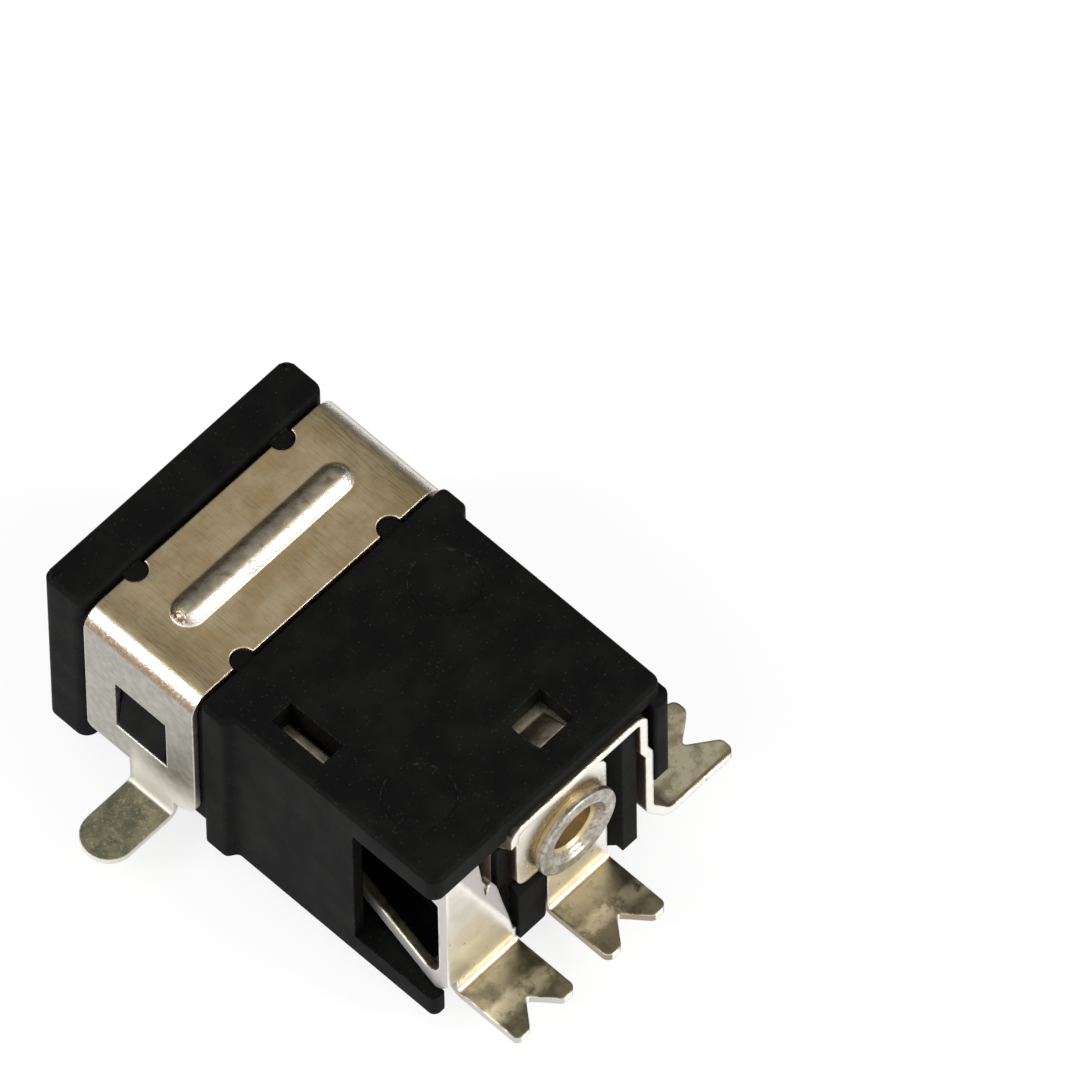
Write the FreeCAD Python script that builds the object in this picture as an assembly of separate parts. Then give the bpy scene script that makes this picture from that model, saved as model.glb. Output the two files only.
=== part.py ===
import FreeCAD, Part
import math
import os

os.makedirs("parts", exist_ok=True)

# A surface-mount dc barrel jack, in millimetres.
# The pieces are drawn in the jack's own directions: x across from the flange's middle plane,
# y back from the mouth face, z up from the board. write() then moves them so that the origin
# is midway between the two locating pegs, on the board.

# Plug bore: the plug sets its diameter, and the walls around it set the jack's height
bore_d = 5.8
bore_floor_wall = 0.8
bore_roof_wall = 0.55
bore_side_wall = 0.25
bore_x = -0.85
mouth_chamfer = 0.2

# Centre pin
pin_d = 2.0
pin_recess = 0.9
pin_tip_round = 0.45
pin_fit = 0.02
shank_d = 2.4
hub_d = 2.65
hub_thickness = 0.18
rivet_d = 2.92
rivet_thickness = 0.2
rivet_hole_d = 1.5
rivet_hole_depth = 1.1
rivet_rim = 0.08
funnel_depth = 0.3

# Flange around the mouth
flange_width = 9.4
flange_thickness = 1.5
flange_edge = 0.18
flange_back_corner = 0.4
flange_front_corner = 0.3

# Rear body
body_inset = 0.3
body_front = 5.86
body_length = 8.44
body_corner = 0.35
body_edge = 0.15
pilaster_length = 0.85
pilaster_blend = 0.2
rib_setback = 3.24
rib_length = 0.75
rib_proud = 0.18
core_step_width = 0.6
core_step_height = 0.8
floor_thickness = 0.8
roof_thickness = 0.95
rear_block = 4.3
rear_recess = 0.4
side_wall = 0.35

# Steel shell strap
strap_sheet = 0.2
strap_proud = 0.1
strap_sink = 0.17
strap_bend = 0.5
strap_front_gap = 0.15
strap_rear_gap = 0.17
strap_fit = 0.05
strap_foot = 1.27
strap_foot_front_round = 0.2
strap_rear_foot = 0.85
strap_rear_foot_round = 0.75
window_setback = 1.11
window_length = 1.9
window_drop = 2.26
window_height = 2.25
catch_gap = 0.1
catch_proud = 0.02
catch_land = 0.2
bead_x = -0.08
bead_shift = 0.1
bead_length = 6.65
bead_radius = 0.6
bead_height = 0.3
key_inset = 1.98
key_radius = 0.33
key_fit = 0.05
strap_tab_setback = 1.57
strap_tab_width = 1.61
strap_tab_reach = 2.45
foot_bend = 0.2

# Contact sheet, its solder tabs and their V notches
contact_sheet = 0.28
contact_bend = 0.15
contact_fit = 0.03
tab_width = 2.3
tab_reach = 2.25
notch_width = 1.3
notch_depth = 0.8
notch_round = 0.12
tab_tip_round = 0.25

# Pin terminal
pin_tab_offset = 0.3
head_gap = 0.6
head_reach = 2.0
head_low_offset = 0.95
head_corner = 0.5
head_step_round = 0.2

# Sleeve spring
spring_inset = 0.3
spring_tab_inset = 1.73
spring_bend = 0.32
spring_rise = 1.0
crease_inset = 0.6
crease_foot = 0.18
crease_turn = 24.0
crease_overlap = 0.2
leaf_pocket = 0.65
leaf_room_height = 2.2
leaf_neck = 1.2
tooth_neck = 1.55
tooth_side_neck = 1.8
notch_drop = 2.54
tooth_drop = 2.24
tooth_side_drop = 2.79
arm_reach = 4.55
arm_clearance = 0.05
arm_height = 0.55
arm_rise = 0.6
upper_arm_height = 0.84
upper_arm_arch = 0.25
arch_length = 1.25
gap_behind = 0.15
gap_corner = 0.35
gap_foot_round = 0.6
arch_round = 1.0
crossbar_length = 1.9
tongue_height = 1.3
tongue_dip = 0.35
tongue_setback = 0.42
tongue_reach = 1.9
tongue_lip = 0.6
tongue_bend = 0.2
tongue_room = 0.16
tongue_channel = 2.65

# Shunt contact
saddle_rise = 0.3
leg_to_bore = 0.7
left_leg_inset = 0.76
shunt_jog = 0.2
jog_length = 0.45
jog_drop = 1.77
saddle_length = 1.9
saddle_proud = 0.14
fold_height = 0.72
leg_cover_drop = 1.2
leg_recess = 0.25
lead_length = 3.05
leg_foot = 0.5
leg_step = 0.45
side_tab_reach = 2.6
side_notch_depth = 0.9
foot_height = 1.3
foot_reach = 0.69
foot_round = 0.45
lance_height = 0.35
lance_length = 0.85
lance_side_gap = 0.2
lance_end_gap = 0.12
lance_root = 0.3

# Rear pillars, floor corner and left cheek
moulded_round = 0.1
post_gap = 0.15
post_1_low = 0.1
post_1_recess = 0.05
post_1_corner = 0.25
post_1_bevel = 0.3
post_2_gap = 0.1
post_2_low = 0.3
post_2_slope = 0.38
post_2_rib = 0.31
post_2_slot_width = 0.2
post_2_slot_low = 1.8
nub_width = 0.45
nub_recess = 0.1
nub_corner = 0.3
cheek_side_proud = 0.1
cheek_proud = 0.2
cheek_height = 4.65
cheek_drop = 0.6
cheek_corner = 0.25

# Openings in the roof and the floor
side_opening_length = 3.05
roof_slot_inset = 1.45
roof_slot_width = 0.77
roof_slot_setback = 1.74
roof_slot_length = 1.93
roof_window_inset = 2.46
roof_window_width = 1.4
roof_window_setback = 2.2
roof_window_length = 1.28
floor_slot_offset = 0.35
floor_slot_width = 0.76
floor_slot_setback = 3.1
floor_slot_length = 1.63
ejector_radius = 1.03
ejector_depth = 0.05
ejector_front_setback = 2.15
ejector_rear_setback = 2.21
ejector_spacing = 5.26
ejector_offset = 0.06

# Locating pegs
peg_x = -0.75
peg_d = 1.5
peg_height = 1.1
peg_round = 0.35
peg_front_y = 3.85
peg_spacing = 6.2
peg_ring_d = 2.1
peg_ring_depth = 0.04

# How far a cutting tool reaches past what it cuts, and by how much joined shapes run into each other
beyond = 3.0
lap = 0.1

# Half widths
half_flange = flange_width / 2
half_body = half_flange - body_inset
half_strap = half_flange + strap_proud
core_half = half_strap - strap_sheet - strap_fit
tab_half = tab_width / 2
notch_half = notch_width / 2

# Heights
bore_z = bore_floor_wall + bore_d / 2
flange_height = bore_z + bore_d / 2 + bore_roof_wall
roof_low = flange_height - roof_thickness
strap_top = flange_height - strap_sink
core_top = strap_top - strap_sheet - strap_fit
window_high = strap_top - window_drop
window_low = window_high - window_height
seat_top = roof_low + saddle_rise
shunt_top = seat_top - contact_fit
seat_low = shunt_top - contact_sheet - contact_fit
shunt_jog_z = shunt_top - jog_drop
shunt_fold_low = shunt_top - fold_height
shunt_leg_low = floor_thickness + leg_foot
shunt_leg_rear_low = shunt_leg_low + leg_step
leg_cover_top = roof_low - leg_cover_drop
spring_top = roof_low - 2 * contact_fit
leaf_room_top = floor_thickness + leaf_room_height
notch_low_z = spring_top - notch_drop
tooth_top_z = spring_top - tooth_drop
tooth_side_z = spring_top - tooth_side_drop
arm_low = floor_thickness + arm_clearance
upper_arm_low = spring_top - upper_arm_height
head_top = roof_low - head_gap
head_low = bore_z - head_low_offset
post_1_height = head_low
cheek_low = flange_height - cheek_height

# Places from front to rear
strap_from = flange_thickness + strap_front_gap
strap_to = body_front - strap_rear_gap
bead_y = (strap_from + strap_to) / 2 - bead_shift
window_from = strap_from + window_setback
window_to = window_from + window_length
strap_tab_from = strap_from + strap_tab_setback
strap_tab_to = strap_tab_from + strap_tab_width
body_rear = body_front + body_length
back_wall = body_rear - rear_recess
bore_depth = back_wall - rear_block
plate_rear = back_wall + contact_sheet
tab_end = plate_rear + tab_reach
rivet_rear = plate_rear + hub_thickness + rivet_thickness
rib_from = body_front + rib_setback
side_opening_from = body_rear - side_opening_length
arm_front = back_wall - arm_reach
channel_from = arm_front - tongue_channel
shunt_front = back_wall - saddle_length
shunt_rear = body_rear + saddle_proud
shunt_lead = back_wall - lead_length
shunt_leg_rear = back_wall - leg_recess
shunt_tab_y = shunt_rear - tab_half
post_1_rear = body_rear - post_1_recess
nub_rear = body_rear - nub_recess
cheek_rear = body_rear + cheek_proud
roof_slot_from = body_front + roof_slot_setback
roof_window_from = body_rear - roof_window_setback
floor_slot_from = back_wall - floor_slot_setback
peg_middle = peg_front_y + peg_spacing / 2

# Places across
key_x = half_strap - key_inset
cavity_left = bore_x + bore_d / 2 + bore_side_wall
pin_tab_x = bore_x - pin_tab_offset
head_right = bore_x + head_reach
spring_side = half_body - spring_inset
spring_edge = spring_side - spring_bend - contact_sheet
spring_tab_x = spring_side - spring_tab_inset
spring_tab_left = spring_tab_x - tab_half
crease_top_x = spring_side - crease_inset
crease_low_x = spring_tab_left + crease_foot
leaf_upper_x = crease_top_x - leaf_neck
tooth_x = crease_top_x - tooth_neck
tooth_side_x = crease_top_x - tooth_side_neck
arm_front_x = (cavity_left + half_body - side_wall + contact_sheet) / 2
shunt_right = cavity_left - leg_to_bore
leg_slot_right = shunt_right + contact_fit
leg_slot_left = shunt_right - contact_sheet - contact_fit
shunt_left = left_leg_inset - half_body
leg_left_inner = shunt_left + contact_sheet + contact_fit
shunt_low_x = shunt_left - shunt_jog
shunt_tab_x = -half_body - side_tab_reach
post_1_left = pin_tab_x + tab_half + post_gap
post_1_right = spring_tab_left - contact_fit
post_2_right = pin_tab_x - tab_half - post_2_gap
post_2_slot_x = leg_left_inner + post_2_rib
nub_left = half_body - nub_width
cheek_left = -half_body - cheek_side_proud
roof_slot_x = half_body - roof_slot_inset
roof_window_x = roof_window_inset - half_body
floor_slot_x = leg_slot_left - floor_slot_offset
ejector_left = (ejector_offset - ejector_spacing / 2, body_front + ejector_front_setback)
ejector_right = (ejector_offset + ejector_spacing / 2, body_rear - ejector_rear_setback)


def box(x0, x1, y0, y1, z0, z1):
    """A block between two corners."""
    corner = FreeCAD.Vector(min(x0, x1), min(y0, y1), min(z0, z1))
    return Part.makeBox(abs(x1 - x0), abs(y1 - y0), abs(z1 - z0), corner)


def lying_cylinder(x, z, radius, y0, y1):
    """A cylinder along y."""
    return Part.makeCylinder(radius, y1 - y0, FreeCAD.Vector(x, y0, z), FreeCAD.Vector(0, 1, 0))


def standing_cylinder(x, y, radius, z0, z1):
    """A cylinder along z."""
    return Part.makeCylinder(radius, z1 - z0, FreeCAD.Vector(x, y, z0), FreeCAD.Vector(0, 0, 1))


def in_space(plane, a, b, depth):
    """A point from its two coordinates in a plane and its depth along the third direction."""
    if plane == "xz":
        return FreeCAD.Vector(a, depth, b)
    if plane == "yz":
        return FreeCAD.Vector(depth, a, b)
    return FreeCAD.Vector(a, b, depth)


def unit(a, b):
    """The direction from one plane point to another."""
    length = math.hypot(b[0] - a[0], b[1] - a[1])
    return ((b[0] - a[0]) / length, (b[1] - a[1]) / length)


def corner_arc(before, point, after, radius):
    """The start, middle and end of the arc that rounds a corner, limited by its two sides."""
    back = unit(point, before)
    ahead = unit(point, after)
    angle = math.acos(max(-1.0, min(1.0, back[0] * ahead[0] + back[1] * ahead[1])))
    room = 0.49 * min(math.dist(point, before), math.dist(point, after))
    reach = min(radius / math.tan(angle / 2), room)
    radius = reach * math.tan(angle / 2)
    start = (point[0] + back[0] * reach, point[1] + back[1] * reach)
    end = (point[0] + ahead[0] * reach, point[1] + ahead[1] * reach)
    inward = unit(point, ((start[0] + end[0]) / 2, (start[1] + end[1]) / 2))
    inset = math.hypot(radius, reach) - radius
    middle = (point[0] + inward[0] * inset, point[1] + inward[1] * inset)
    return start, middle, end


def prism(plane, points, radii, depth0, depth1):
    """A rounded polygon in a plane, given a depth along the third direction."""
    count = len(points)
    if not isinstance(radii, (list, tuple)):
        radii = [radii] * count
    arcs = []
    for i, point in enumerate(points):
        if radii[i] > 0:
            arcs.append(corner_arc(points[i - 1], point, points[(i + 1) % count], radii[i]))
        else:
            arcs.append((point, point, point))
    edges = []
    for i, (start, middle, end) in enumerate(arcs):
        if start != end:
            three = [in_space(plane, p[0], p[1], depth0) for p in (start, middle, end)]
            edges.append(Part.Arc(*three).toShape())
        following = arcs[(i + 1) % count][0]
        a = in_space(plane, end[0], end[1], depth0)
        b = in_space(plane, following[0], following[1], depth0)
        if a.distanceToPoint(b) > 1e-7:
            edges.append(Part.makeLine(a, b))
    face = Part.Face(Part.Wire(edges))
    return face.extrude(in_space(plane, 0, 0, depth1 - depth0))


def bent_sheet(plane, path, thickness, inside_radii, depth0, depth1):
    """A sheet whose one face follows a path, with its thickness to the left of it."""
    if not isinstance(inside_radii, (list, tuple)):
        inside_radii = [inside_radii] * len(path)
    near = list(path)
    near_radii = [0.0] * len(path)
    far_radii = [0.0] * len(path)
    directions = [unit(path[i], path[i + 1]) for i in range(len(path) - 1)]
    normals = [(-d[1], d[0]) for d in directions]
    far = []
    for i, point in enumerate(path):
        before = normals[max(i - 1, 0)]
        after = normals[min(i, len(normals) - 1)]
        grow = thickness / (1 + before[0] * after[0] + before[1] * after[1])
        far.append((point[0] + (before[0] + after[0]) * grow, point[1] + (before[1] + after[1]) * grow))
        if 0 < i < len(path) - 1:
            d0, d1 = directions[i - 1], directions[i]
            turns_left = d0[0] * d1[1] - d0[1] * d1[0] > 0
            near_radii[i] = inside_radii[i] + (thickness if turns_left else 0.0)
            far_radii[i] = inside_radii[i] + (0.0 if turns_left else thickness)
    return prism(plane, near + far[::-1], near_radii + far_radii[::-1], depth0, depth1)


def edges_where(shape, test):
    """The edges of a shape whose middle point passes a test."""
    return [e for e in shape.Edges if test(e.valueAt((e.FirstParameter + e.LastParameter) / 2), e)]


def upright(shape, test):
    """The edges of a shape that stand along z and pass a test of their middle point."""
    return edges_where(shape, lambda p, e: test(p) and abs(e.tangentAt(e.FirstParameter).z) > 0.99)


def flange():
    """The front plate, with rounded corners and softened edges."""
    plate = box(-half_flange, half_flange, 0, flange_thickness, 0, flange_height)
    plate = plate.makeFillet(flange_back_corner, upright(plate, lambda p: p.y > flange_thickness / 2))
    plate = plate.makeFillet(flange_front_corner, upright(plate, lambda p: p.y < flange_edge))
    upper = edges_where(plate, lambda p, e: abs(p.z - flange_height) < 1e-6)
    return plate.makeFillet(flange_edge, upper)


def rear_body():
    """The block behind the strap, with a pilaster at each front corner and a softened top edge."""
    p, b = half_flange, half_body
    start, end = body_front, body_front + pilaster_length
    outline = [(-p, start), (p, start), (p, end), (b, end + pilaster_blend), (b, body_rear),
               (-b, body_rear), (-b, end + pilaster_blend), (-p, end)]
    blend = pilaster_blend
    radii = [blend, blend, blend, blend, body_corner, body_corner, blend, blend]
    block = prism("xy", outline, radii, 0, flange_height)
    top = edges_where(block, lambda q, e: abs(q.z - flange_height) < 1e-6)
    return block.makeFillet(body_edge, top)


def side_rib():
    """The low upright rib on the left wall."""
    foot = -half_body + strap_bend
    crest = -half_body - rib_proud
    outline = [(foot, rib_from), (crest, rib_from + rib_proud), (crest, rib_from + rib_length - rib_proud),
               (foot, rib_from + rib_length)]
    return prism("xy", outline, [0, rib_proud / 2, rib_proud / 2, 0], 0, roof_low)


def strap_keys():
    """Four half-round keys that hold the strap's edge notches, in front of and behind it."""
    height = strap_top - strap_fit
    low = core_top - strap_fit
    keys = []
    for side in (-1, 1):
        x = side * key_x
        for wall, centre in ((flange_thickness, strap_from), (body_front, strap_to)):
            keys.append(standing_cylinder(x, centre, key_radius, low, height))
            keys.append(box(x - key_radius, x + key_radius, centre, wall, low, height))
    return keys


def strap_catches():
    """A ramp on each side that the strap's window snaps over, thickest at its lower end."""
    low = window_low + catch_gap
    high = window_high - catch_gap
    catches = []
    for side in (-1, 1):
        crest = side * (half_strap - catch_proud)
        root = side * (core_half - strap_fit)
        outline = [(root, low), (crest, low), (crest, low + catch_land), (side * core_half, high),
                   (root, high)]
        catches.append(prism("xz", outline, 0, window_from + catch_gap, window_to - catch_gap))
    return catches


def pegs():
    """Two round locating pegs under the floor, domed at their ends."""
    made = []
    for step in (-0.5, 0.5):
        y = peg_middle + step * peg_spacing
        peg = standing_cylinder(peg_x, y, peg_d / 2, -peg_height, floor_thickness / 2)
        tip = edges_where(peg, lambda p, e: abs(p.z + peg_height) < 1e-6)
        made.append(peg.makeFillet(peg_round, tip))
    return made


def peg_rings():
    """The shallow ring around each peg's root."""
    rings = []
    for step in (-0.5, 0.5):
        y = peg_middle + step * peg_spacing
        ring = standing_cylinder(peg_x, y, peg_ring_d / 2, -beyond, peg_ring_depth)
        rings.append(ring.cut(standing_cylinder(peg_x, y, peg_d / 2, -beyond, beyond)))
    return rings


def ejector_marks():
    """Two shallow round marks on the roof."""
    low = flange_height - ejector_depth
    places = (ejector_left, ejector_right)
    return [standing_cylinder(x, y, ejector_radius, low, low + beyond) for x, y in places]


def plug_bore():
    """The round bore for the plug, its mouth chamfer and the hole for the pin's shank."""
    radius = bore_d / 2
    bore = lying_cylinder(bore_x, bore_z, radius, -beyond, bore_depth)
    chamfer = Part.makeCone(radius + mouth_chamfer, radius, mouth_chamfer,
                            FreeCAD.Vector(bore_x, 0, bore_z), FreeCAD.Vector(0, 1, 0))
    shank = lying_cylinder(bore_x, bore_z, shank_d / 2 + pin_fit, bore_depth - pin_fit, body_rear + beyond)
    return [bore, chamfer, shank]


def spring_spaces():
    """The side opening, the channel that the spring's arms lie in and the window into the bore."""
    window = tongue_height / 2 + tongue_room
    bottom, top = floor_thickness, roof_low
    outside = half_body + beyond
    behind = body_rear + beyond
    return [
        box(cavity_left, outside, side_opening_from, behind, bottom, top),
        box(cavity_left, half_body - side_wall, channel_from, side_opening_from + lap, bottom, top),
        box(bore_x, cavity_left + lap, channel_from, arm_front + tongue_room,
            bore_z - window, bore_z + window),
        box(leg_slot_right, outside, back_wall, behind, bottom, top),
        box(leg_slot_right, cavity_left + lap, back_wall - leaf_pocket, behind, bottom, top),
        box(leg_slot_left, cavity_left + lap, back_wall - leaf_pocket, behind, bottom, leaf_room_top),
        box(spring_tab_left - contact_fit, outside, back_wall - leaf_pocket, behind, -beyond, bottom + lap),
    ]


def shunt_spaces():
    """The seat under the roof, the slots for the two legs and the gap under the left cheek."""
    outer = shunt_low_x - contact_fit
    tab_front = shunt_tab_y - tab_half - contact_fit
    start = shunt_lead - contact_fit
    seat_from = shunt_front - contact_fit
    behind = body_rear + beyond
    leg_rear = shunt_leg_rear + contact_fit
    return [
        box(leg_slot_left, leg_slot_right, start, leg_rear, floor_thickness, seat_top),
        box(leg_slot_left, leg_slot_right, start, behind, leg_cover_top, seat_top),
        box(outer, leg_slot_right, seat_from, behind, seat_low, seat_top),
        box(outer, leg_left_inner, seat_from, behind, -beyond, seat_top),
        box(-half_body - beyond, leg_left_inner, tab_front, behind, -beyond, cheek_low),
        box(bore_x, leg_slot_right, start, shunt_front, seat_low, seat_top),
    ]


def fold_reliefs():
    """Round grooves in the moulding's corners that clear the inside of the shunt contact's two folds."""
    start, behind = shunt_lead - contact_fit, body_rear + beyond
    return [lying_cylinder(x, seat_low, contact_bend, start, behind) for x in (leg_left_inner, leg_slot_left)]


def rear_pocket():
    """The space behind the back wall, between the spring's plate and the left pillar."""
    return box(post_2_right - post_2_slope, leg_slot_right, back_wall, body_rear + beyond, -beyond, roof_low)


def cover_openings():
    """The slot and the square window in the roof, and the slot in the floor."""
    low, high = roof_low - contact_fit, flange_height + beyond
    slot_x, slot_y = roof_slot_x + roof_slot_width, roof_slot_from + roof_slot_length
    window_x, window_y = roof_window_x + roof_window_width, roof_window_from + roof_window_length
    floor_x, floor_y = floor_slot_x + floor_slot_width, floor_slot_from + floor_slot_length
    return [
        box(roof_slot_x, slot_x, roof_slot_from, slot_y, low, high),
        box(roof_window_x, window_x, roof_window_from, window_y, low, high),
        box(floor_slot_x, floor_x, floor_slot_from, floor_y, -beyond, floor_thickness + lap),
    ]


def post_1():
    """The block between the two rear solder tabs, bevelled on its top edge and its lower corner."""
    l, r, rear = post_1_left, post_1_right, post_1_rear
    low, high = post_1_low, post_1_height
    front = back_wall - contact_sheet
    outline = [(front, low), (rear, low), (rear, high - post_1_bevel), (rear - post_1_bevel, high),
               (front, high)]
    post = prism("yz", outline, [0, moulded_round, moulded_round, moulded_round, 0], l, r)
    face = prism("xz", [(l, low), (r, low), (r, high), (l, high)], [post_1_corner, post_1_corner, 0, 0],
                 front, rear + beyond)
    return post.common(face)


def post_2():
    """The tall left pillar, sloped on its inner corner and slotted down its back."""
    inner = leg_left_inner
    front = back_wall - post_2_slope
    outline = [(post_2_right, front), (post_2_right, body_rear - post_2_slope),
               (post_2_right - post_2_slope, body_rear), (inner, body_rear), (inner, front)]
    pillar = prism("xy", outline, [0, moulded_round, moulded_round, moulded_round, 0], post_2_low, seat_low)
    slot = box(post_2_slot_x - post_2_slot_width, post_2_slot_x, front, body_rear + beyond,
               post_2_slot_low, roof_low)
    return pillar.cut(slot)


def nub():
    """The floor's corner beside the spring's solder tab."""
    front = side_opening_from + nub_corner
    outline = [(nub_left, front), (half_body, front), (half_body, nub_rear), (nub_left, nub_rear)]
    return prism("xy", outline, [0, 0, nub_corner, moulded_round], 0, floor_thickness)


def cheek():
    """The left wall over the side tab, round at its lower end, that covers the shunt contact's leg."""
    inner = shunt_low_x - contact_fit
    front = shunt_tab_y - tab_half
    high = flange_height - cheek_drop
    plan = [(inner, front), (cheek_left, front), (cheek_left, cheek_rear), (inner, cheek_rear)]
    wall = prism("xy", plan, [0, 0, cheek_corner, moulded_round], cheek_low, high)
    side = [(front, cheek_low), (cheek_rear, cheek_low), (cheek_rear, high), (front, high)]
    wall = wall.common(prism("yz", side, [0, cheek_corner, cheek_corner, 0], cheek_left - lap, inner + lap))
    face = [(cheek_left, cheek_low), (inner + lap, cheek_low), (inner + lap, high), (cheek_left, high)]
    return wall.common(prism("xz", face, [cheek_corner, 0, 0, 0], front - lap, cheek_rear + lap))


def core():
    """The waist inside the strap, round along its top edges and stepped in at its foot."""
    narrow = core_half - core_step_width
    outline = [(-narrow, 0), (narrow, 0), (narrow, core_step_height), (core_half, core_step_height),
               (core_half, core_top), (-core_half, core_top), (-core_half, core_step_height),
               (-narrow, core_step_height)]
    radii = [0, 0, 0, 0, strap_bend, strap_bend, 0, 0]
    return prism("xz", outline, radii, flange_thickness / 2, body_front + pilaster_blend)


def housing():
    """The one black moulding."""
    shape = flange().multiFuse([core(), rear_body(), side_rib()] + strap_keys() + strap_catches())
    shape = shape.cut(Part.makeCompound(ejector_marks() + spring_spaces()))
    shape = shape.cut(Part.makeCompound(shunt_spaces()))
    shape = shape.cut(rear_pocket())
    for tool in cover_openings():
        shape = shape.cut(tool)
    shape = shape.multiFuse([post_1(), post_2(), cheek()])
    for tool in plug_bore() + fold_reliefs():
        shape = shape.cut(tool)
    shape = shape.fuse(nub())
    shape = shape.multiFuse(pegs())
    for ring in peg_rings():
        shape = shape.cut(ring)
    return shape.removeSplitter()


def shell_strap():
    """The folded steel strap over the jack, with a bead, windows, edge notches and two solder tabs."""
    h, top = half_strap, strap_top
    path = [(h, strap_rear_foot), (h, top), (-h, top), (-h, strap_rear_foot)]
    shape = bent_sheet("xz", path, strap_sheet, strap_bend, strap_from, strap_to)
    high = strap_top + lap
    step = (strap_tab_from + strap_tab_to) / 2
    outline = [(strap_from, strap_foot), (step, strap_foot), (step, strap_rear_foot),
               (strap_to, strap_rear_foot), (strap_to, high), (strap_from, high)]
    rounds = [strap_foot_front_round, 0, 0, strap_rear_foot_round, 0, 0]
    shape = shape.common(prism("yz", outline, rounds, -h - lap, h + lap))
    tabs = [strap_tab(side) for side in (-1, 1)]
    inner = strap_top - strap_sheet
    shape = shape.multiFuse([bead(bead_radius, inner)] + tabs)
    tools = [bead(bead_radius - strap_sheet, inner - strap_fit)]
    tools.append(box(-h - beyond, h + beyond, window_from, window_to, window_low, window_high))
    tools += strap_notches()
    for tool in tools:
        shape = shape.cut(tool)
    return shape.removeSplitter()


def strap_notches():
    """The four half-round notches in the strap's front and rear edges."""
    radius = key_radius + key_fit
    low = strap_top - 2 * strap_sheet
    notches = []
    for side in (-1, 1):
        for centre in (strap_from, strap_to):
            notches.append(standing_cylinder(side * key_x, centre, radius, low, strap_top + beyond))
    return notches


def bead(radius, low):
    """The round-ended rib pressed up across the strap's top, as far as it stands above a level."""
    z = strap_top + bead_height - bead_radius
    reach = math.sqrt(bead_radius ** 2 - (bead_radius - bead_height) ** 2)
    half = bead_length / 2 - reach
    start = FreeCAD.Vector(bead_x - half, bead_y, z)
    bar = Part.makeCylinder(radius, 2 * half, start, FreeCAD.Vector(1, 0, 0))
    ends = [Part.makeSphere(radius, FreeCAD.Vector(bead_x + side * half, bead_y, z)) for side in (-1, 1)]
    above = box(-half_strap, half_strap, strap_from, strap_to, low, strap_top + beyond)
    return bar.multiFuse(ends).common(above)


def strap_tab(side):
    """One round-ended solder tab, folded out from the foot of a side plate."""
    h = half_strap
    end = h + strap_tab_reach
    inner = side * (h - strap_sheet)
    path = [(inner, strap_foot + strap_bend), (inner, 0), (side * end, 0)]
    if side < 0:
        path = path[::-1]
    folded = bent_sheet("xz", path, strap_sheet, foot_bend, strap_tab_from, strap_tab_to)
    root = side * (h - strap_bend)
    outline = [(root, strap_tab_from), (side * end, strap_tab_from),
               (side * end, strap_tab_to), (root, strap_tab_to)]
    round_end = strap_tab_width / 2
    return folded.common(prism("xy", outline, [0, round_end, round_end, 0], -beyond, strap_top))


def tab_outline(along_x, middle, root, end, depth):
    """A tab's outline in plan, with a V notch in its free end, and its corners' radii."""
    notch = depth if end < root else -depth
    outline = [(root, middle - tab_half), (end, middle - tab_half), (end, middle - notch_half),
               (end + notch, middle), (end, middle + notch_half), (end, middle + tab_half),
               (root, middle + tab_half)]
    if not along_x:
        outline = [(across, along) for along, across in outline]
    return outline, [0, tab_tip_round, tab_tip_round, notch_round, tab_tip_round, tab_tip_round, 0]


def rear_terminal_sheet(middle, right, left, top):
    """A plate against the back wall, bent back along the board into a notched solder tab."""
    path = [(back_wall, top), (back_wall, 0), (tab_end, 0)]
    sheet = bent_sheet("yz", path, contact_sheet, contact_bend, left, right)
    outline, radii = tab_outline(False, middle, back_wall - lap, tab_end, notch_depth)
    bend_top = contact_sheet + contact_bend
    tab = prism("xy", outline, radii, -lap, bend_top)
    plate = box(left, right, back_wall - lap, plate_rear + lap, bend_top, top)
    return sheet.common(tab.fuse(plate))


def pin_terminal():
    """The plate that the pin is riveted to, with its solder tab under the pin."""
    right = pin_tab_x + tab_half
    left = pin_tab_x - tab_half
    sheet = rear_terminal_sheet(pin_tab_x, head_right, left, head_top)
    outline = [(left, 0), (right, 0), (right, head_low), (head_right, head_low), (head_right, head_top),
               (left, head_top)]
    radii = [0, 0, head_step_round, head_corner, head_corner, head_corner]
    shape = sheet.common(prism("xz", outline, radii, 0, tab_end + beyond))
    return shape.cut(lying_cylinder(bore_x, bore_z, shank_d / 2 + pin_fit, 0, tab_end))


def centre_pin():
    """The turned pin: domed in front, a wider shank in the back wall, then a hub and a flared hollow end."""
    pin = lying_cylinder(bore_x, bore_z, pin_d / 2, pin_recess, bore_depth + lap)
    tip = edges_where(pin, lambda p, e: abs(p.y - pin_recess) < 1e-6)
    pin = pin.makeFillet(pin_tip_round, tip)
    shank = lying_cylinder(bore_x, bore_z, shank_d / 2, bore_depth, plate_rear)
    hub = lying_cylinder(bore_x, bore_z, hub_d / 2, plate_rear, rivet_rear - rivet_thickness)
    collar = lying_cylinder(bore_x, bore_z, rivet_d / 2, rivet_rear - rivet_thickness, rivet_rear)
    collar = collar.makeFillet(rivet_rim, edges_where(collar, lambda p, e: abs(p.y - rivet_rear) < 1e-6))
    hole = rivet_hole_d / 2
    hollow = lying_cylinder(bore_x, bore_z, hole, rivet_rear - rivet_hole_depth, rivet_rear + beyond)
    start = FreeCAD.Vector(bore_x, rivet_rear - funnel_depth, bore_z)
    funnel = Part.makeCone(hole, hole + funnel_depth, funnel_depth, start, FreeCAD.Vector(0, 1, 0))
    return pin.multiFuse([shank, hub, collar]).cut(hollow).cut(funnel).removeSplitter()


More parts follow.
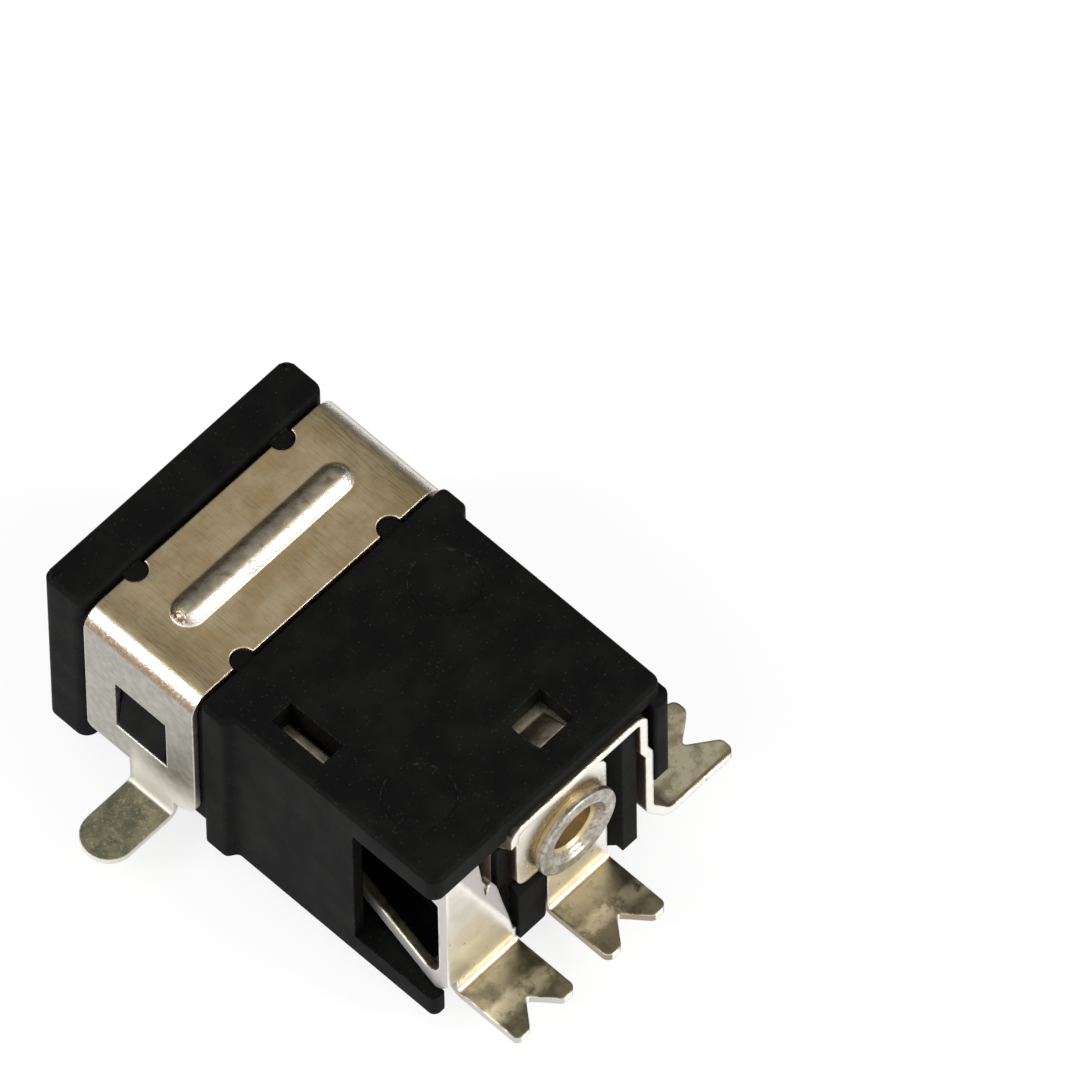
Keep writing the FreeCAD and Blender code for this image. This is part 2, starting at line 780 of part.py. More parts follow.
def spring_arms():
    """The spring's side: a round corner, then two arms that lean in and meet at the crossbar in front."""
    rear, front = plate_rear, arm_front - crossbar_length
    path = [(arm_front_x, front), (arm_front_x, arm_front), (spring_side, rear), (spring_edge - lap, rear)]
    low, high = arm_low, spring_top
    sheet = bent_sheet("xy", path, contact_sheet, spring_bend, low, high)
    outline = [(rear, low), (arm_front, low + arm_rise), (front, low + arm_rise), (front, high), (rear, high)]
    gap_rear = rear - gap_behind
    inner_low = low + arm_height
    arch = upper_arm_low + upper_arm_arch
    arch_front = gap_rear - arch_length
    gap = [(gap_rear, arch), (gap_rear, inner_low), (arm_front, inner_low + arm_rise),
           (arm_front, arch), (arch_front, arch), (gap_rear - arch_length / 2, upper_arm_low)]
    radii = [gap_corner, gap_foot_round, gap_corner, gap_corner, arch_round, gap_corner]
    window = prism("yz", gap, radii, 0, half_body + beyond)
    whole = prism("yz", outline, 0, 0, half_body + beyond)
    return sheet.common(whole).cut(window)


def spring_tongue():
    """The tongue from the crossbar through the window into the bore, and back out along its wall."""
    start = arm_front - tongue_setback
    dip = bore_x + bore_d / 2 - tongue_dip
    path = [(dip + tongue_lip, start - tongue_reach), (dip, start - tongue_reach / 2),
            (arm_front_x, start)]
    z0, z1 = bore_z - tongue_height / 2, bore_z + tongue_height / 2
    return bent_sheet("xy", path, contact_sheet, tongue_bend, z0, z1)


def spring_plate():
    """The spring's rear plate, up to the slanted crease, with its solder tab."""
    left, right = spring_tab_left, spring_tab_left + tab_width
    over_nub = floor_thickness + contact_fit
    sheet = rear_terminal_sheet(spring_tab_x, spring_edge, left, spring_top)
    outline = [(left, 0), (right, 0), (right, over_nub), (spring_edge, over_nub), (spring_edge, spring_top),
               (crease_top_x + crease_overlap, spring_top), (crease_low_x + crease_overlap, spring_rise),
               (left, spring_rise - crease_overlap)]
    return sheet.common(prism("xz", outline, 0, 0, tab_end + beyond))


def spring_leaf():
    """The sheet across the crease: flat on the plate's side, a toothed leaf turned forward beyond it."""
    lean = math.degrees(math.atan2(crease_top_x - crease_low_x, spring_top - spring_rise))
    turn = math.radians(crease_turn)
    far = (-beyond * math.cos(turn), back_wall - beyond * math.sin(turn))
    path = [far, (0, back_wall), (beyond, back_wall)]
    leaf = bent_sheet("xy", path, contact_sheet, contact_bend, -beyond, 3 * beyond)
    leaf.rotate(FreeCAD.Vector(0, 0, 0), FreeCAD.Vector(0, 1, 0), lean)
    leaf.translate(FreeCAD.Vector(crease_low_x, 0, spring_rise))
    low_end = leg_slot_left + contact_fit
    foot = spring_rise - crease_overlap
    overlap = 2 * crease_overlap
    outline = [(low_end, foot), (crease_low_x + overlap, foot), (crease_top_x + overlap, spring_top),
               (leaf_upper_x, spring_top), (leaf_upper_x, notch_low_z), (tooth_x, tooth_top_z),
               (tooth_side_x, tooth_side_z)]
    radii = [0, 0, 0, contact_bend, contact_bend, contact_bend, contact_bend]
    return leaf.common(prism("xz", outline, radii, back_wall - beyond, tab_end))


def sleeve_spring():
    """The one-piece spring contact that touches the plug's sleeve."""
    shape = spring_plate().multiFuse([spring_leaf(), spring_arms(), spring_tongue()])
    return shape.removeSplitter()


def shunt_contact():
    """The saddle over the back wall that the spring rests on until a plug lifts it off."""
    t = contact_sheet
    path = [(shunt_right, shunt_leg_low), (shunt_right, shunt_top), (shunt_left, shunt_top),
            (shunt_left, shunt_jog_z), (shunt_low_x, shunt_jog_z - jog_length),
            (shunt_low_x, foot_height), (shunt_low_x - foot_reach, t), (shunt_tab_x, t)]
    bends = [contact_bend] * 5 + [foot_round] * 2 + [contact_bend]
    sheet = bent_sheet("xz", path, t, bends, shunt_lead, shunt_rear)
    root = shunt_left + t + contact_bend
    outline, radii = tab_outline(True, shunt_tab_y, root, shunt_tab_x, side_notch_depth)
    fold_low = shunt_top - t - contact_bend
    tab = prism("xy", outline, radii, -lap, shunt_jog_z - shunt_jog)
    left_leg = box(shunt_low_x - lap, root, shunt_front, shunt_rear, foot_height, shunt_top + lap)
    saddle = box(shunt_left - lap, shunt_right + lap, shunt_front, shunt_rear, fold_low, shunt_top + lap)
    shape = sheet.common(tab.multiFuse([left_leg, saddle, shunt_leg()]))
    return shape.fuse(lance()).removeSplitter()


def shunt_leg():
    """What the leg beside the spring keeps of the sheet: its foot steps up to the rear, under the fold."""
    inner_end = floor_slot_from + floor_slot_length
    outline = [(shunt_lead, shunt_leg_low), (inner_end, shunt_leg_low), (shunt_leg_rear, shunt_leg_rear_low),
               (shunt_leg_rear, leg_cover_top + contact_fit), (shunt_rear, shunt_fold_low),
               (shunt_rear, shunt_top), (shunt_lead, shunt_top)]
    return prism("yz", outline, 0, leg_slot_left - contact_bend, leg_slot_right)


def lance():
    """The small tongue raised into the roof's square window, which holds the saddle in place."""
    x0 = roof_window_x + lance_side_gap
    x1 = roof_window_x + roof_window_width - lance_side_gap
    y1 = roof_window_from + roof_window_length - lance_end_gap
    y0 = y1 - lance_length
    low = shunt_top - contact_sheet
    outline = [(y0, shunt_top), (y1, shunt_top + lance_height), (y1, low + lance_height),
               (y1 - lance_root, low), (y0, low)]
    return prism("yz", outline, 0, x0, x1)


def write(name, shape):
    """Moves a piece so that the origin is midway between the pegs, and writes it."""
    moved = shape.copy()
    moved.translate(FreeCAD.Vector(-peg_x, -peg_middle, 0))
    solids = moved.Solids
    print(name, "solids", len(solids), "valid", moved.isValid(), "volume", round(moved.Volume, 3))
    whole = solids[0] if len(solids) == 1 else moved
    whole.exportStep("parts/" + name + ".step")


write("housing", housing())
write("shell_strap", shell_strap())
write("centre_pin", centre_pin())
write("pin_terminal", pin_terminal())
write("sleeve_spring", sleeve_spring())
write("shunt_contact", shunt_contact())
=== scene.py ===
import math

import bpy
from mathutils import Matrix, Vector


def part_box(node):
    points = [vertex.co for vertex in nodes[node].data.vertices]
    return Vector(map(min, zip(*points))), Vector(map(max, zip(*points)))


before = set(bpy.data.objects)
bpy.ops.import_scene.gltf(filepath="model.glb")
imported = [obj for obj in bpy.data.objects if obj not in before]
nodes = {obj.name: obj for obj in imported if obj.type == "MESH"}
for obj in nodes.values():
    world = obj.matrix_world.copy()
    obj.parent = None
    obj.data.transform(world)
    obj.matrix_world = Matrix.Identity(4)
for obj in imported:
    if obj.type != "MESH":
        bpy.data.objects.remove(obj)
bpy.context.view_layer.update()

MM = 0.001

# The photograph's camera: where it looks, from which side, how far off, its turn and its lens
CAMERA_AIM = Vector((-6.010, 0.478, 3.5)) * MM
CAMERA_AZIMUTH = 134.70
CAMERA_ELEVATION = 59.654
CAMERA_ROLL = 0.974
CAMERA_DISTANCE = 784.29 * MM
CAMERA_LENS = 972.5
SENSOR = 36.0
NEAREST_SEEN = 0.01
FARTHEST_SEEN = 20.0

# The room's brightest side, and the cosines of the angle from it where its walls are darkest and brightest
BRIGHT_AZIMUTH = 135.0
BRIGHT_ELEVATION = 20.0
DARKEST_AT = -0.8
BRIGHTEST_AT = 0.45
DARK_WALL = (0.10, 0.10, 0.10)
BRIGHT_WALL = (1.0, 1.0, 1.0)

# Both lamps: how far off they stand, how wide they are and their power
LAMP_DISTANCE = 0.30
LAMP_SIZE = 0.14
LAMP_POWER = 0.5

# The paper: half its width, and how much of its brightness is its own
PAPER_HALF = 3.0
PAPER_GLOW = 0.8

# Edges: the rays that round them, and the gain that brings a square edge to nearly 1
BEVEL_SAMPLES = 6
EDGE_GAIN = 3.0

# How far behind the strap's front edge its solder tabs begin, and how far behind the body the rear solder
# tabs have their painted highlight band
STRAP_TAB_SETBACK = 1.57
HIGHLIGHT_BAND_SETBACK = 0.95

# The lathe rings on the pin, in radians a millimetre
RINGS = 60.0

# Places worked out from the frame, in millimetres, and the floor's height in metres
strap_low, strap_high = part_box("shell_strap")
body_low, body_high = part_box("housing")
pin_low, pin_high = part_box("centre_pin")
PIN_X = (pin_low.x + pin_high.x) / 2 / MM
PIN_Z = (pin_low.z + pin_high.z) / 2 / MM
PIN_REAR = pin_high.y / MM
STRAP_MIDDLE = (strap_low.x + strap_high.x) / 2 / MM
STRAP_TAB_FRONT = strap_low.y / MM + STRAP_TAB_SETBACK
BEAD_TOP = strap_high.z / MM
BODY_REAR = body_high.y / MM
HIGHLIGHT_BAND = BODY_REAR + HIGHLIGHT_BAND_SETBACK
FLOOR_Z = body_low.z

# On the strap: where a look is absent and where it is full, as heights, places on y or widths from its middle
ROOF_SHEET = (BEAD_TOP - 0.85, BEAD_TOP - 0.45)
BEND_LOWER = (BEAD_TOP - 0.86, BEAD_TOP - 0.74)
BEND_UPPER = (BEAD_TOP - 0.50, BEAD_TOP - 0.60)
BEAD = (BEAD_TOP - 0.29, BEAD_TOP - 0.22)
BEAD_RIGHT_END = (2.85, 3.15)
ROOF_ENDS = (2.9, 4.3)
# PALE_FOOT: heights of the side plates' low zone, which gets a painted pale reflection and a rougher finish
PALE_FOOT = (2.6, 1.0)
FOOT_FRONT = (STRAP_TAB_FRONT - 0.1, STRAP_TAB_FRONT + 0.2)
ON_BOARD = (0.45, 0.3)

# The same on the contacts: places on y, a height, and a distance from the pin's axis
BEHIND_BODY = (BODY_REAR - 0.22, BODY_REAR - 0.16)
TAB_ROOT_FRONT = (BODY_REAR - 0.30, BODY_REAR - 0.22)
TAB_ROOT_REAR = (BODY_REAR - 0.06, BODY_REAR - 0.14)
TAB_ROOT_TOP = (0.55, 0.40)
# painted brown shade and reflection around the pin's hub: full within 1.45 mm of its axis, absent beyond 2.1
# mm
HUB_SHADE_AND_REFLECTION = (2.1, 1.45)

# The same on the pin: places on y, and a distance from its axis
HOLLOW_END = (PIN_REAR - 1.6, PIN_REAR - 1.5)
HUB_FRONT = (PIN_REAR - 0.20, PIN_REAR - 0.24)
HOLLOW = (0.95, 0.78)

# How far a face looks up where it counts as level, and how far to the side where it counts as sideways
LEVEL = (0.75, 0.95)
SIDEWAYS = (0.26, 0.37)

GOLD_TIN = (0.62, 0.55, 0.38)


class Wire:
    """A number in a material. Arithmetic on it adds Math nodes, so that a pattern reads as a formula."""

    def __init__(self, graph, socket):
        self.graph = graph
        self.socket = socket

    def __add__(self, other):
        return self.graph.maths("ADD", self, other)

    def __radd__(self, other):
        return self.graph.maths("ADD", other, self)

    def __sub__(self, other):
        return self.graph.maths("SUBTRACT", self, other)

    def __rsub__(self, other):
        return self.graph.maths("SUBTRACT", other, self)

    def __mul__(self, other):
        return self.graph.maths("MULTIPLY", self, other)

    def __rmul__(self, other):
        return self.graph.maths("MULTIPLY", other, self)

    def larger(self, other):
        return self.graph.maths("MAXIMUM", self, other)

    def magnitude(self):
        return self.graph.node("Math", {"operation": "ABSOLUTE"}, {0: self})

    def rise(self, low, high):
        """0 below low and 1 above high, with a smooth step between; falls instead where low is the larger."""
        settings = {"interpolation_type": "SMOOTHSTEP"}
        return self.graph.node("MapRange", settings, {"Value": self, "From Min": low, "From Max": high})

    def output(self, name):
        """Another output of the same node."""
        return Wire(self.graph, self.socket.node.outputs[name])


class Graph:
    """A node tree, and the one way in which nodes are added to it."""

    def __init__(self, tree):
        self.tree = tree

    def node(self, kind, settings=None, inputs=None, output=0):
        """Adds a node of a kind and gives one of its outputs.

        Its settings are set first, then each input gets its value or its link.
        """
        node = self.tree.nodes.new("ShaderNode" + kind)
        for name, value in (settings or {}).items():
            setattr(node, name, value)
        for name, value in (inputs or {}).items():
            self.feed(node.inputs[name], value)
        return Wire(self, node.outputs[output])

    def feed(self, socket, value):
        """Gives a socket its value, or its link where the value is a wire."""
        if isinstance(value, Wire):
            self.tree.links.new(value.socket, socket)
        else:
            socket.default_value = value

    def maths(self, operation, first, second):
        return self.node("Math", {"operation": operation}, {0: first, 1: second})

    def dot(self, first, second):
        """How far two directions agree: 1 when they are the same, 0 when they are square to each other."""
        settings = {"operation": "DOT_PRODUCT"}
        return self.node("VectorMath", settings, {0: first, 1: second}, output="Value")

    def mix(self, share, first, second):
        """A colour from the first at share 0 to the second at share 1."""
        first = first if isinstance(first, Wire) else (*first, 1.0)
        second = second if isinstance(second, Wire) else (*second, 1.0)
        return self.node("Mix", {"data_type": "RGBA"}, {0: share, 6: first, 7: second}, output=2)


class Finish(Graph):
    """One material: its node tree, the point on the piece and the shader that the patterns end in."""

    def __init__(self, name, **constants):
        self.material = bpy.data.materials.new(name)
        self.material.use_nodes = True
        super().__init__(self.material.node_tree)
        self.shader = self.tree.nodes["Principled BSDF"]
        for socket, value in constants.items():
            self.shader.inputs[socket.replace("_", " ")].default_value = value
        self.point = self.node("TexCoord", output="Object")

    def stretched(self, x, y, z):
        """The point with each axis scaled, in pattern cells a millimetre."""
        scale = (x / MM, y / MM, z / MM)
        return self.node("VectorMath", {"operation": "MULTIPLY"}, {0: self.point, 1: scale})

    def noise(self, x, y=None, z=None, detail=2.0, rough=0.5):
        """Noise with this many cells a millimetre along each axis, 0.5 on average."""
        point = self.stretched(x, x if y is None else y, x if z is None else z)
        values = {"Vector": point, "Scale": 1.0, "Detail": detail, "Roughness": rough}
        return self.node("TexNoise", inputs=values)

    def dots(self, cells, radius, share):
        """Small round dots in a share of the cells, 1 on the dot."""
        values = {"Vector": self.stretched(cells, cells, cells), "Scale": 1.0}
        distance = self.node("TexVoronoi", inputs=values, output="Distance")
        pick = self.node("SeparateColor", inputs={"Color": distance.output("Color")})
        return distance.rise(radius, radius * 0.5) * pick.rise(1.0 - share, 1.0 - share + 0.02)

    def place(self, axis):
        """The point's own X, Y or Z, in millimetres."""
        return self.node("SeparateXYZ", inputs={"Vector": self.point}, output=axis) * (1 / MM)

    def facing(self, axis):
        """How far the surface faces along X, Y or Z: 1 when square to it, 0 when along it."""
        normal = self.node("NewGeometry", output="Normal")
        return self.node("SeparateXYZ", inputs={"Vector": normal}, output=axis)

    def from_pin(self):
        """The point's distance from the pin's axis, in millimetres."""
        x = self.place("X") - PIN_X
        z = self.place("Z") - PIN_Z
        return self.node("Math", {"operation": "SQRT"}, {0: x * x + z * z})

    def softened(self, radius):
        """The surface's direction, with its edges rounded by a radius in millimetres."""
        return self.node("Bevel", {"samples": BEVEL_SAMPLES}, {"Radius": radius * MM})

    def edges(self, radius):
        """How far the surface turns within a small radius: 0 on a flat, towards 1 on a sharp edge."""
        true = self.node("NewGeometry", output="Normal")
        return (1.0 - self.dot(self.softened(radius), true)) * EDGE_GAIN

    def relief(self, height, depth, radius):
        """Bumps of a depth in millimetres, on edges softened by a radius in millimetres."""
        values = {"Height": height, "Distance": depth * MM, "Strength": 1.0, "Normal": self.softened(radius)}
        self.feed(self.shader.inputs["Normal"], self.node("Bump", inputs=values))

    def finish(self, colour, roughness):
        """Ends the patterns in the shader's colour and roughness."""
        self.feed(self.shader.inputs["Base Color"], colour)
        self.feed(self.shader.inputs["Roughness"], roughness)
        return self.material


def black_moulding():
    """Matt black plastic: near black, cloudy, with fine pale grains and painted highlight dots along its
    edges.
    """
    made = Finish("black_moulding", Specular_IOR_Level=0.06)
    cloud = made.noise(0.9, detail=3.0)
    fine = made.noise(16.0, detail=2.0, rough=0.6)
    grain = made.dots(cells=9.0, radius=0.34, share=0.30)
    dust = made.dots(cells=5.5, radius=0.15, share=0.12) * made.noise(2.5).rise(0.42, 0.66)
    # painted highlight: pale dots along the edges, where light catches them
    edge_highlight = (made.edges(0.07) * made.noise(6.0, detail=3.0).rise(0.46, 0.62)).rise(0.1, 0.9)
    colour = made.mix(cloud.rise(0.35, 0.7), (0.0026, 0.0025, 0.0024), (0.0050, 0.0050, 0.0046))
    colour = made.mix(grain * made.noise(5.0).rise(0.35, 0.6) * 0.24, colour, (0.040, 0.041, 0.038))
    colour = made.mix(dust * 0.2, colour, (0.10, 0.098, 0.094))
    colour = made.mix(edge_highlight * 0.40, colour, (0.085, 0.082, 0.082))
    made.relief(fine * 0.7 + grain * 0.6, depth=0.006, radius=0.07)
    return made.finish(colour, 0.66 - 0.14 * cloud + 0.1 * fine)


def rolled_nickel():
    """The strap's dull plated sheet: rolling lines along y, olive stains on top, rust at the bends, painted
    highlights on the bends and edges, a painted pale reflection low on the sides and painted shade on the
    bead.
    """
    made = Finish("rolled_nickel", Metallic=1.0)
    height = made.place("Z")
    tilt = made.facing("Z")
    roof = height.rise(*ROOF_SHEET)
    # foot: the side plates' low zone, painted pale as a reflection and made rougher
    foot = height.rise(*PALE_FOOT) * made.place("Y").rise(*FOOT_FRONT)
    curved = tilt.rise(0.97, 0.88) * tilt.rise(0.40, 0.62) * roof
    lines = made.noise(18.0, 1.1, 18.0, detail=3.0, rough=0.65)
    stain = made.noise(0.7, 0.9, 0.7, detail=5.0, rough=0.62)
    spots = made.noise(3.4, detail=3.0, rough=0.6)
    specks = made.noise(12.0, detail=3.0, rough=0.6)
    grit = made.noise(16.0, detail=1.0)
    tab = height.rise(*ON_BOARD) * tilt.rise(*LEVEL)
    side = made.mix(tab, strap_side(made, foot, spots), strap_tab(made, specks))
    colour = made.mix(roof, side, strap_roof(made, stain, specks))
    colour = made.mix(lines.rise(0.52, 0.74) * 0.5 * roof, colour, (0.20, 0.16, 0.09))
    colour = scratched_ends(made, roof, colour)
    # painted highlight: near-white on the curved faces of the roof's bends
    colour = made.mix(curved * 0.85, colour, (0.88, 0.84, 0.77))
    colour = bead_shade_and_rust(made, height.rise(*BEAD), spots, specks, colour)
    bend = height.rise(*BEND_LOWER) * height.rise(*BEND_UPPER)
    colour = made.mix(bend * specks.rise(0.34, 0.54) * 0.75, colour, (0.30, 0.17, 0.09))
    # painted highlight: near-white rims along the strap's edges
    rim_highlight = (made.edges(0.08) * specks.rise(0.32, 0.48)).rise(0.1, 0.6)
    colour = made.mix(rim_highlight * 0.8, colour, (0.94, 0.90, 0.82))
    bumps = lines * 0.4 + spots * 0.3 + specks * 0.3 + curved * grit * 2.5
    made.relief(bumps, depth=0.007, radius=0.07)
    return made.finish(colour, 0.34 + 0.12 * spots + 0.08 * stain - 0.16 * curved + 0.3 * foot)


def strap_side(made, foot, spots):
    """Grey on the side plates, and a painted pale reflection at their foot above the solder tabs."""
    side = made.mix(spots.rise(0.3, 0.72), (0.36, 0.345, 0.30), (0.48, 0.46, 0.41))
    return made.mix(foot * 0.8, side, (0.88, 0.85, 0.78))


def strap_tab(made, specks):
    """Dark olive blotches with paler specks."""
    blotch = made.noise(1.9, detail=5.0, rough=0.7)
    tab = made.mix(blotch.rise(0.34, 0.66), (0.145, 0.145, 0.10), (0.30, 0.275, 0.185))
    return made.mix(specks.rise(0.56, 0.66) * 0.45, tab, (0.50, 0.46, 0.36))


def strap_roof(made, stain, specks):
    """Olive and straw, with a few brown specks in the darker stains."""
    roof = made.mix(stain.rise(0.36, 0.64), (0.40, 0.31, 0.17), (0.52, 0.42, 0.26))
    return made.mix(stain.rise(0.52, 0.44) * specks.rise(0.45, 0.6) * 0.35, roof, (0.50, 0.31, 0.13))


def scratched_ends(made, roof, colour):
    """Darkens and scratches the two ends of the strap's roof."""
    ends = (made.place("X") - STRAP_MIDDLE).magnitude().rise(*ROOF_ENDS) * roof
    scratch = made.noise(22.0, 1.6, 22.0, detail=4.0, rough=0.7).rise(0.48, 0.62)
    colour = made.mix(ends * 0.45, colour, (0.24, 0.195, 0.105))
    return made.mix(ends * scratch * 0.5, colour, (0.10, 0.08, 0.05))


def bead_shade_and_rust(made, bead, spots, specks, colour):
    """Paints a grey-brown shade on the bead where it looks up or forwards, and rusts it, mostly at its right
    end.
    """
    wear_and_painted_light = made.mix(spots.rise(0.35, 0.65), (0.26, 0.225, 0.165), (0.36, 0.32, 0.24))
    # painted shade: grey-brown on the bead's faces that turn away from +y
    colour = made.mix(made.facing("Y").rise(0.34, 0.20) * bead, colour, wear_and_painted_light)
    right_end = (made.place("X") - STRAP_MIDDLE).rise(*BEAD_RIGHT_END)
    rust = bead * right_end * specks.rise(0.46, 0.52)
    rust = rust.larger(bead * made.noise(2.2, detail=4.0).rise(0.57, 0.66) * 0.45)
    return made.mix(rust, colour, (0.14, 0.055, 0.025))


def tinned_sheet(name, sideways_painted_light, hub_shade_and_reflection=0.0, roughened=0.0):
    """Bright tin plating over brass: cream on the upright plates, olive and gold on the level faces.

    The faces that look sideways get a colour of painted light and shade, and may be roughened. Near-white
    rims on the edges are a painted highlight. The hub's painted shade and reflection is the share of brown
    around the pin.
    """
    made = Finish(name, Metallic=1.0)
    along = made.place("Y")
    level = made.facing("Z").rise(*LEVEL)
    turned = made.facing("X").magnitude().rise(*SIDEWAYS)
    mottle = made.noise(2.0, detail=4.0, rough=0.6)
    specks = made.noise(9.0, detail=3.0, rough=0.65)
    lines = made.noise(12.0, 1.2, 12.0, detail=2.0)
    plate = upright_tin(made, mottle, specks, hub_shade_and_reflection)
    # painted light and shade: the faces that look sideways take their own colour
    plate = made.mix(turned * (0.8 + 0.2 * mottle), plate, sideways_painted_light)
    colour = made.mix(level, plate, level_tin(made, along, mottle, specks))
    root = along.rise(*TAB_ROOT_FRONT) * along.rise(*TAB_ROOT_REAR) * made.place("Z").rise(*TAB_ROOT_TOP)
    colour = made.mix(root * specks.rise(0.44, 0.58) * 0.4, colour, (0.45, 0.25, 0.11))
    wear_and_painted_light = made.edges(0.08)
    copper = (wear_and_painted_light * specks.rise(0.44, 0.6)).rise(0.15, 0.8)
    colour = made.mix(copper * 0.45, colour, (0.52, 0.27, 0.11))
    # painted highlight: near-white along the sheets' edges; the copper above is real wear
    painted_edge_highlight = (wear_and_painted_light * mottle.rise(0.42, 0.56)).rise(0.1, 0.7)
    colour = made.mix(painted_edge_highlight * 0.85, colour, (0.95, 0.92, 0.85))
    made.relief((lines * 0.3 + mottle * 0.6) * level + specks * 0.2, depth=0.008, radius=0.11)
    return made.finish(colour, 0.26 + 0.12 * mottle + turned * roughened)


def upright_tin(made, mottle, specks, hub_shade_and_reflection):
    """Cream with a few brown dots, and a painted brown shade and reflection around the pin's hub."""
    dots = made.dots(cells=2.2, radius=0.14, share=0.35)
    plate = made.mix(mottle.rise(0.3, 0.6), (0.93, 0.885, 0.79), (0.98, 0.96, 0.90))
    plate = made.mix(dots * 0.6, plate, (0.25, 0.18, 0.10))
    # painted shade and reflection: brown near the hub
    near = made.from_pin().rise(*HUB_SHADE_AND_REFLECTION) * hub_shade_and_reflection
    return made.mix(near * specks.rise(0.30, 0.52), plate, (0.42, 0.32, 0.17))


def level_tin(made, along, mottle, specks):
    """Olive and gold inside the body, and darker on the tabs behind it, with a wavering painted highlight
    band across.
    """
    patch = made.noise(1.3, detail=3.0, rough=0.6)
    inside = made.mix(mottle.rise(0.34, 0.62), (0.34, 0.30, 0.19), GOLD_TIN)
    tab = made.mix(patch.rise(0.34, 0.60), (0.12, 0.108, 0.066), (0.25, 0.215, 0.135))
    # painted highlight: a wavering pale band across the rear tabs
    band = (along - HIGHLIGHT_BAND + (patch - 0.5) * 0.6).magnitude().rise(0.42, 0.08)
    tab = made.mix(band * mottle.rise(0.38, 0.55) * 0.85, tab, GOLD_TIN)
    sheet = made.mix(along.rise(*BEHIND_BODY), inside, tab)
    return made.mix(specks.rise(0.56, 0.68) * 0.4, sheet, (0.10, 0.085, 0.05))


def turned_nickel():
    """The pin: silvery nickel with lathe rings, and brass showing down in its hollow end."""
    made = Finish("turned_nickel", Metallic=1.0)
    radius = made.from_pin()
    along = made.place("Y")
    behind = along.rise(*HOLLOW_END)
    mottle = made.noise(3.0, detail=4.0, rough=0.6)
    specks = made.noise(10.0, detail=3.0)
    rings = made.node("Math", {"operation": "SINE"}, {0: radius * RINGS + mottle * 4.0})
    colour = made.mix(mottle.rise(0.35, 0.65), (0.34, 0.31, 0.26), (0.60, 0.565, 0.50))
    colour = made.mix(specks.rise(0.52, 0.64) * 0.65, colour, (0.22, 0.165, 0.10))
    inside = made.mix(specks.rise(0.4, 0.6), (0.50, 0.38, 0.19), (0.30, 0.24, 0.15))
    colour = made.mix(radius.rise(*HOLLOW) * behind, colour, inside)
    colour = made.mix(along.rise(*HUB_FRONT) * behind, colour, (0.60, 0.50, 0.30))
    made.relief(rings * 0.3 + mottle + specks * 0.5, depth=0.008, radius=0.05)
    return made.finish(colour, 0.28 + 0.16 * mottle)


def white_paper():
    """Plain white paper that fades to the picture's white but keeps a faint shadow."""
    made = Finish("white_floor", Roughness=0.9, Specular_IOR_Level=0.0)
    colour = made.mix(made.noise(0.6), (0.92, 0.92, 0.92), (0.95, 0.95, 0.95))
    made.feed(made.shader.inputs["Base Color"], colour)
    ray = made.node("LightPath", output="Is Camera Ray")
    seen = ray.larger(ray.output("Is Glossy Ray")).larger(ray.output("Is Transmission Ray"))
    glow = made.node("Emission", inputs={"Color": (1.0, 1.0, 1.0, 1.0), "Strength": 1.0})
    paper = Wire(made, made.shader.outputs["BSDF"])
    mixed = made.node("MixShader", inputs={0: seen * PAPER_GLOW, 1: paper, 2: glow})
    made.feed(made.tree.nodes["Material Output"].inputs["Surface"], mixed)
    return made.material


def wear(name, material):
    """Gives a node of the frame its material."""
    nodes[name].data.materials.clear()
    nodes[name].data.materials.append(material)


def floor():
    """A wide square of white paper under the pegs' tips."""
    corners = [(x * PAPER_HALF, y * PAPER_HALF, FLOOR_Z) for x, y in ((-1, -1), (1, -1), (1, 1), (-1, 1))]
    mesh = bpy.data.meshes.new("paper")
    mesh.from_pydata(corners, [], [(0, 1, 2, 3)])
    paper = bpy.data.objects.new("paper", mesh)
    bpy.context.scene.collection.objects.link(paper)
    mesh.materials.append(white_paper())


def direction(azimuth, elevation):
    """From the object towards a place at this azimuth and elevation, in degrees."""
    a = math.radians(azimuth)
    e = math.radians(elevation)
    return Vector((math.sin(a) * math.cos(e), -math.cos(a) * math.cos(e), math.sin(e)))


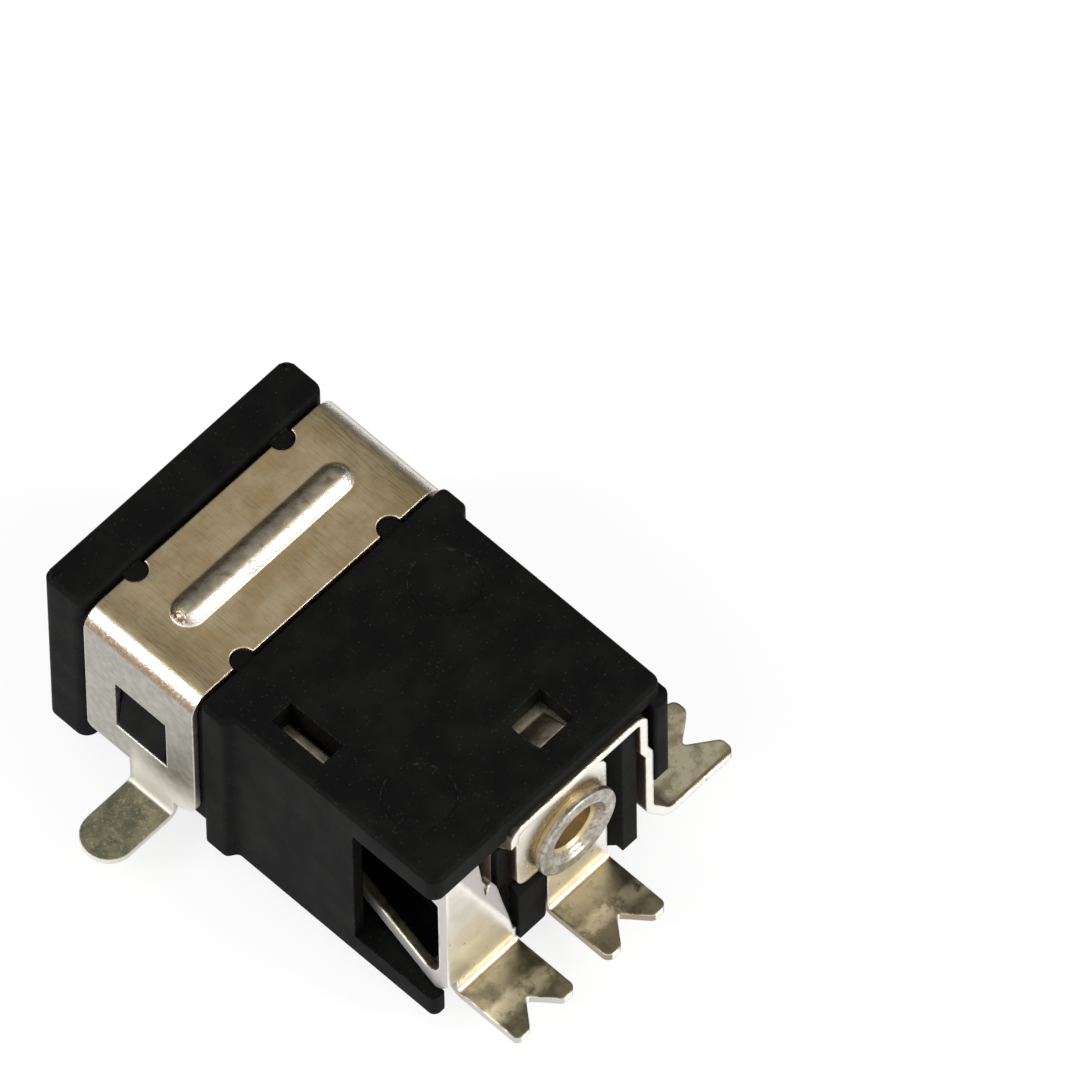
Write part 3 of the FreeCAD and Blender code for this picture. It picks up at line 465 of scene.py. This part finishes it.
def room():
    """Walls that go from dark grey to white on the side that the camera stands on."""
    world = bpy.data.worlds.new("room")
    bpy.context.scene.world = world
    world.use_nodes = True
    walls = Graph(world.node_tree)
    outward = walls.node("TexCoord", output="Generated")
    facing = walls.dot(outward, direction(BRIGHT_AZIMUTH, BRIGHT_ELEVATION))
    fade = walls.node("MapRange", inputs={"Value": facing, "From Min": DARKEST_AT, "From Max": BRIGHTEST_AT})
    colour = walls.mix(fade, DARK_WALL, BRIGHT_WALL)
    walls.feed(world.node_tree.nodes["Background"].inputs["Color"], colour)


def lamp(name, azimuth, elevation):
    """A soft square lamp that faces the jack."""
    data = bpy.data.lights.new(name, "AREA")
    data.size = LAMP_SIZE
    data.energy = LAMP_POWER
    made = bpy.data.objects.new(name, data)
    towards = direction(azimuth, elevation)
    made.location = towards * LAMP_DISTANCE
    made.rotation_euler = towards.to_track_quat("Z", "Y").to_euler()
    bpy.context.scene.collection.objects.link(made)


def camera():
    """The photograph's camera, turned about its own axis by a small roll."""
    data = bpy.data.cameras.new("camera")
    data.sensor_width = SENSOR
    data.lens = CAMERA_LENS
    data.clip_start = NEAREST_SEEN
    data.clip_end = FARTHEST_SEEN
    made = bpy.data.objects.new("camera", data)
    back = direction(CAMERA_AZIMUTH, CAMERA_ELEVATION)
    turn = back.to_track_quat("Z", "Y").to_matrix() @ Matrix.Rotation(math.radians(-CAMERA_ROLL), 3, "Z")
    made.rotation_euler = turn.to_euler()
    made.location = CAMERA_AIM + back * CAMERA_DISTANCE
    bpy.context.scene.collection.objects.link(made)
    bpy.context.scene.camera = made


wear("housing", black_moulding())
wear("shell_strap", rolled_nickel())
wear("centre_pin", turned_nickel())
# the sideways colours are painted: dark brown shade on the terminal and the shunt, a pale lilac sheen on the
# spring
wear("pin_terminal", tinned_sheet("terminal_tin", sideways_painted_light=(0.30, 0.20, 0.12), hub_shade_and_reflection=0.8))
wear("sleeve_spring", tinned_sheet("spring_tin", sideways_painted_light=(0.58, 0.55, 0.54), roughened=0.25))
wear("shunt_contact", tinned_sheet("shunt_tin", sideways_painted_light=(0.20, 0.13, 0.08), roughened=0.1))

floor()
room()
lamp("key_lamp", azimuth=62, elevation=38)
lamp("rear_lamp", azimuth=207, elevation=36)
camera()

bpy.context.scene.view_settings.view_transform = "Standard"
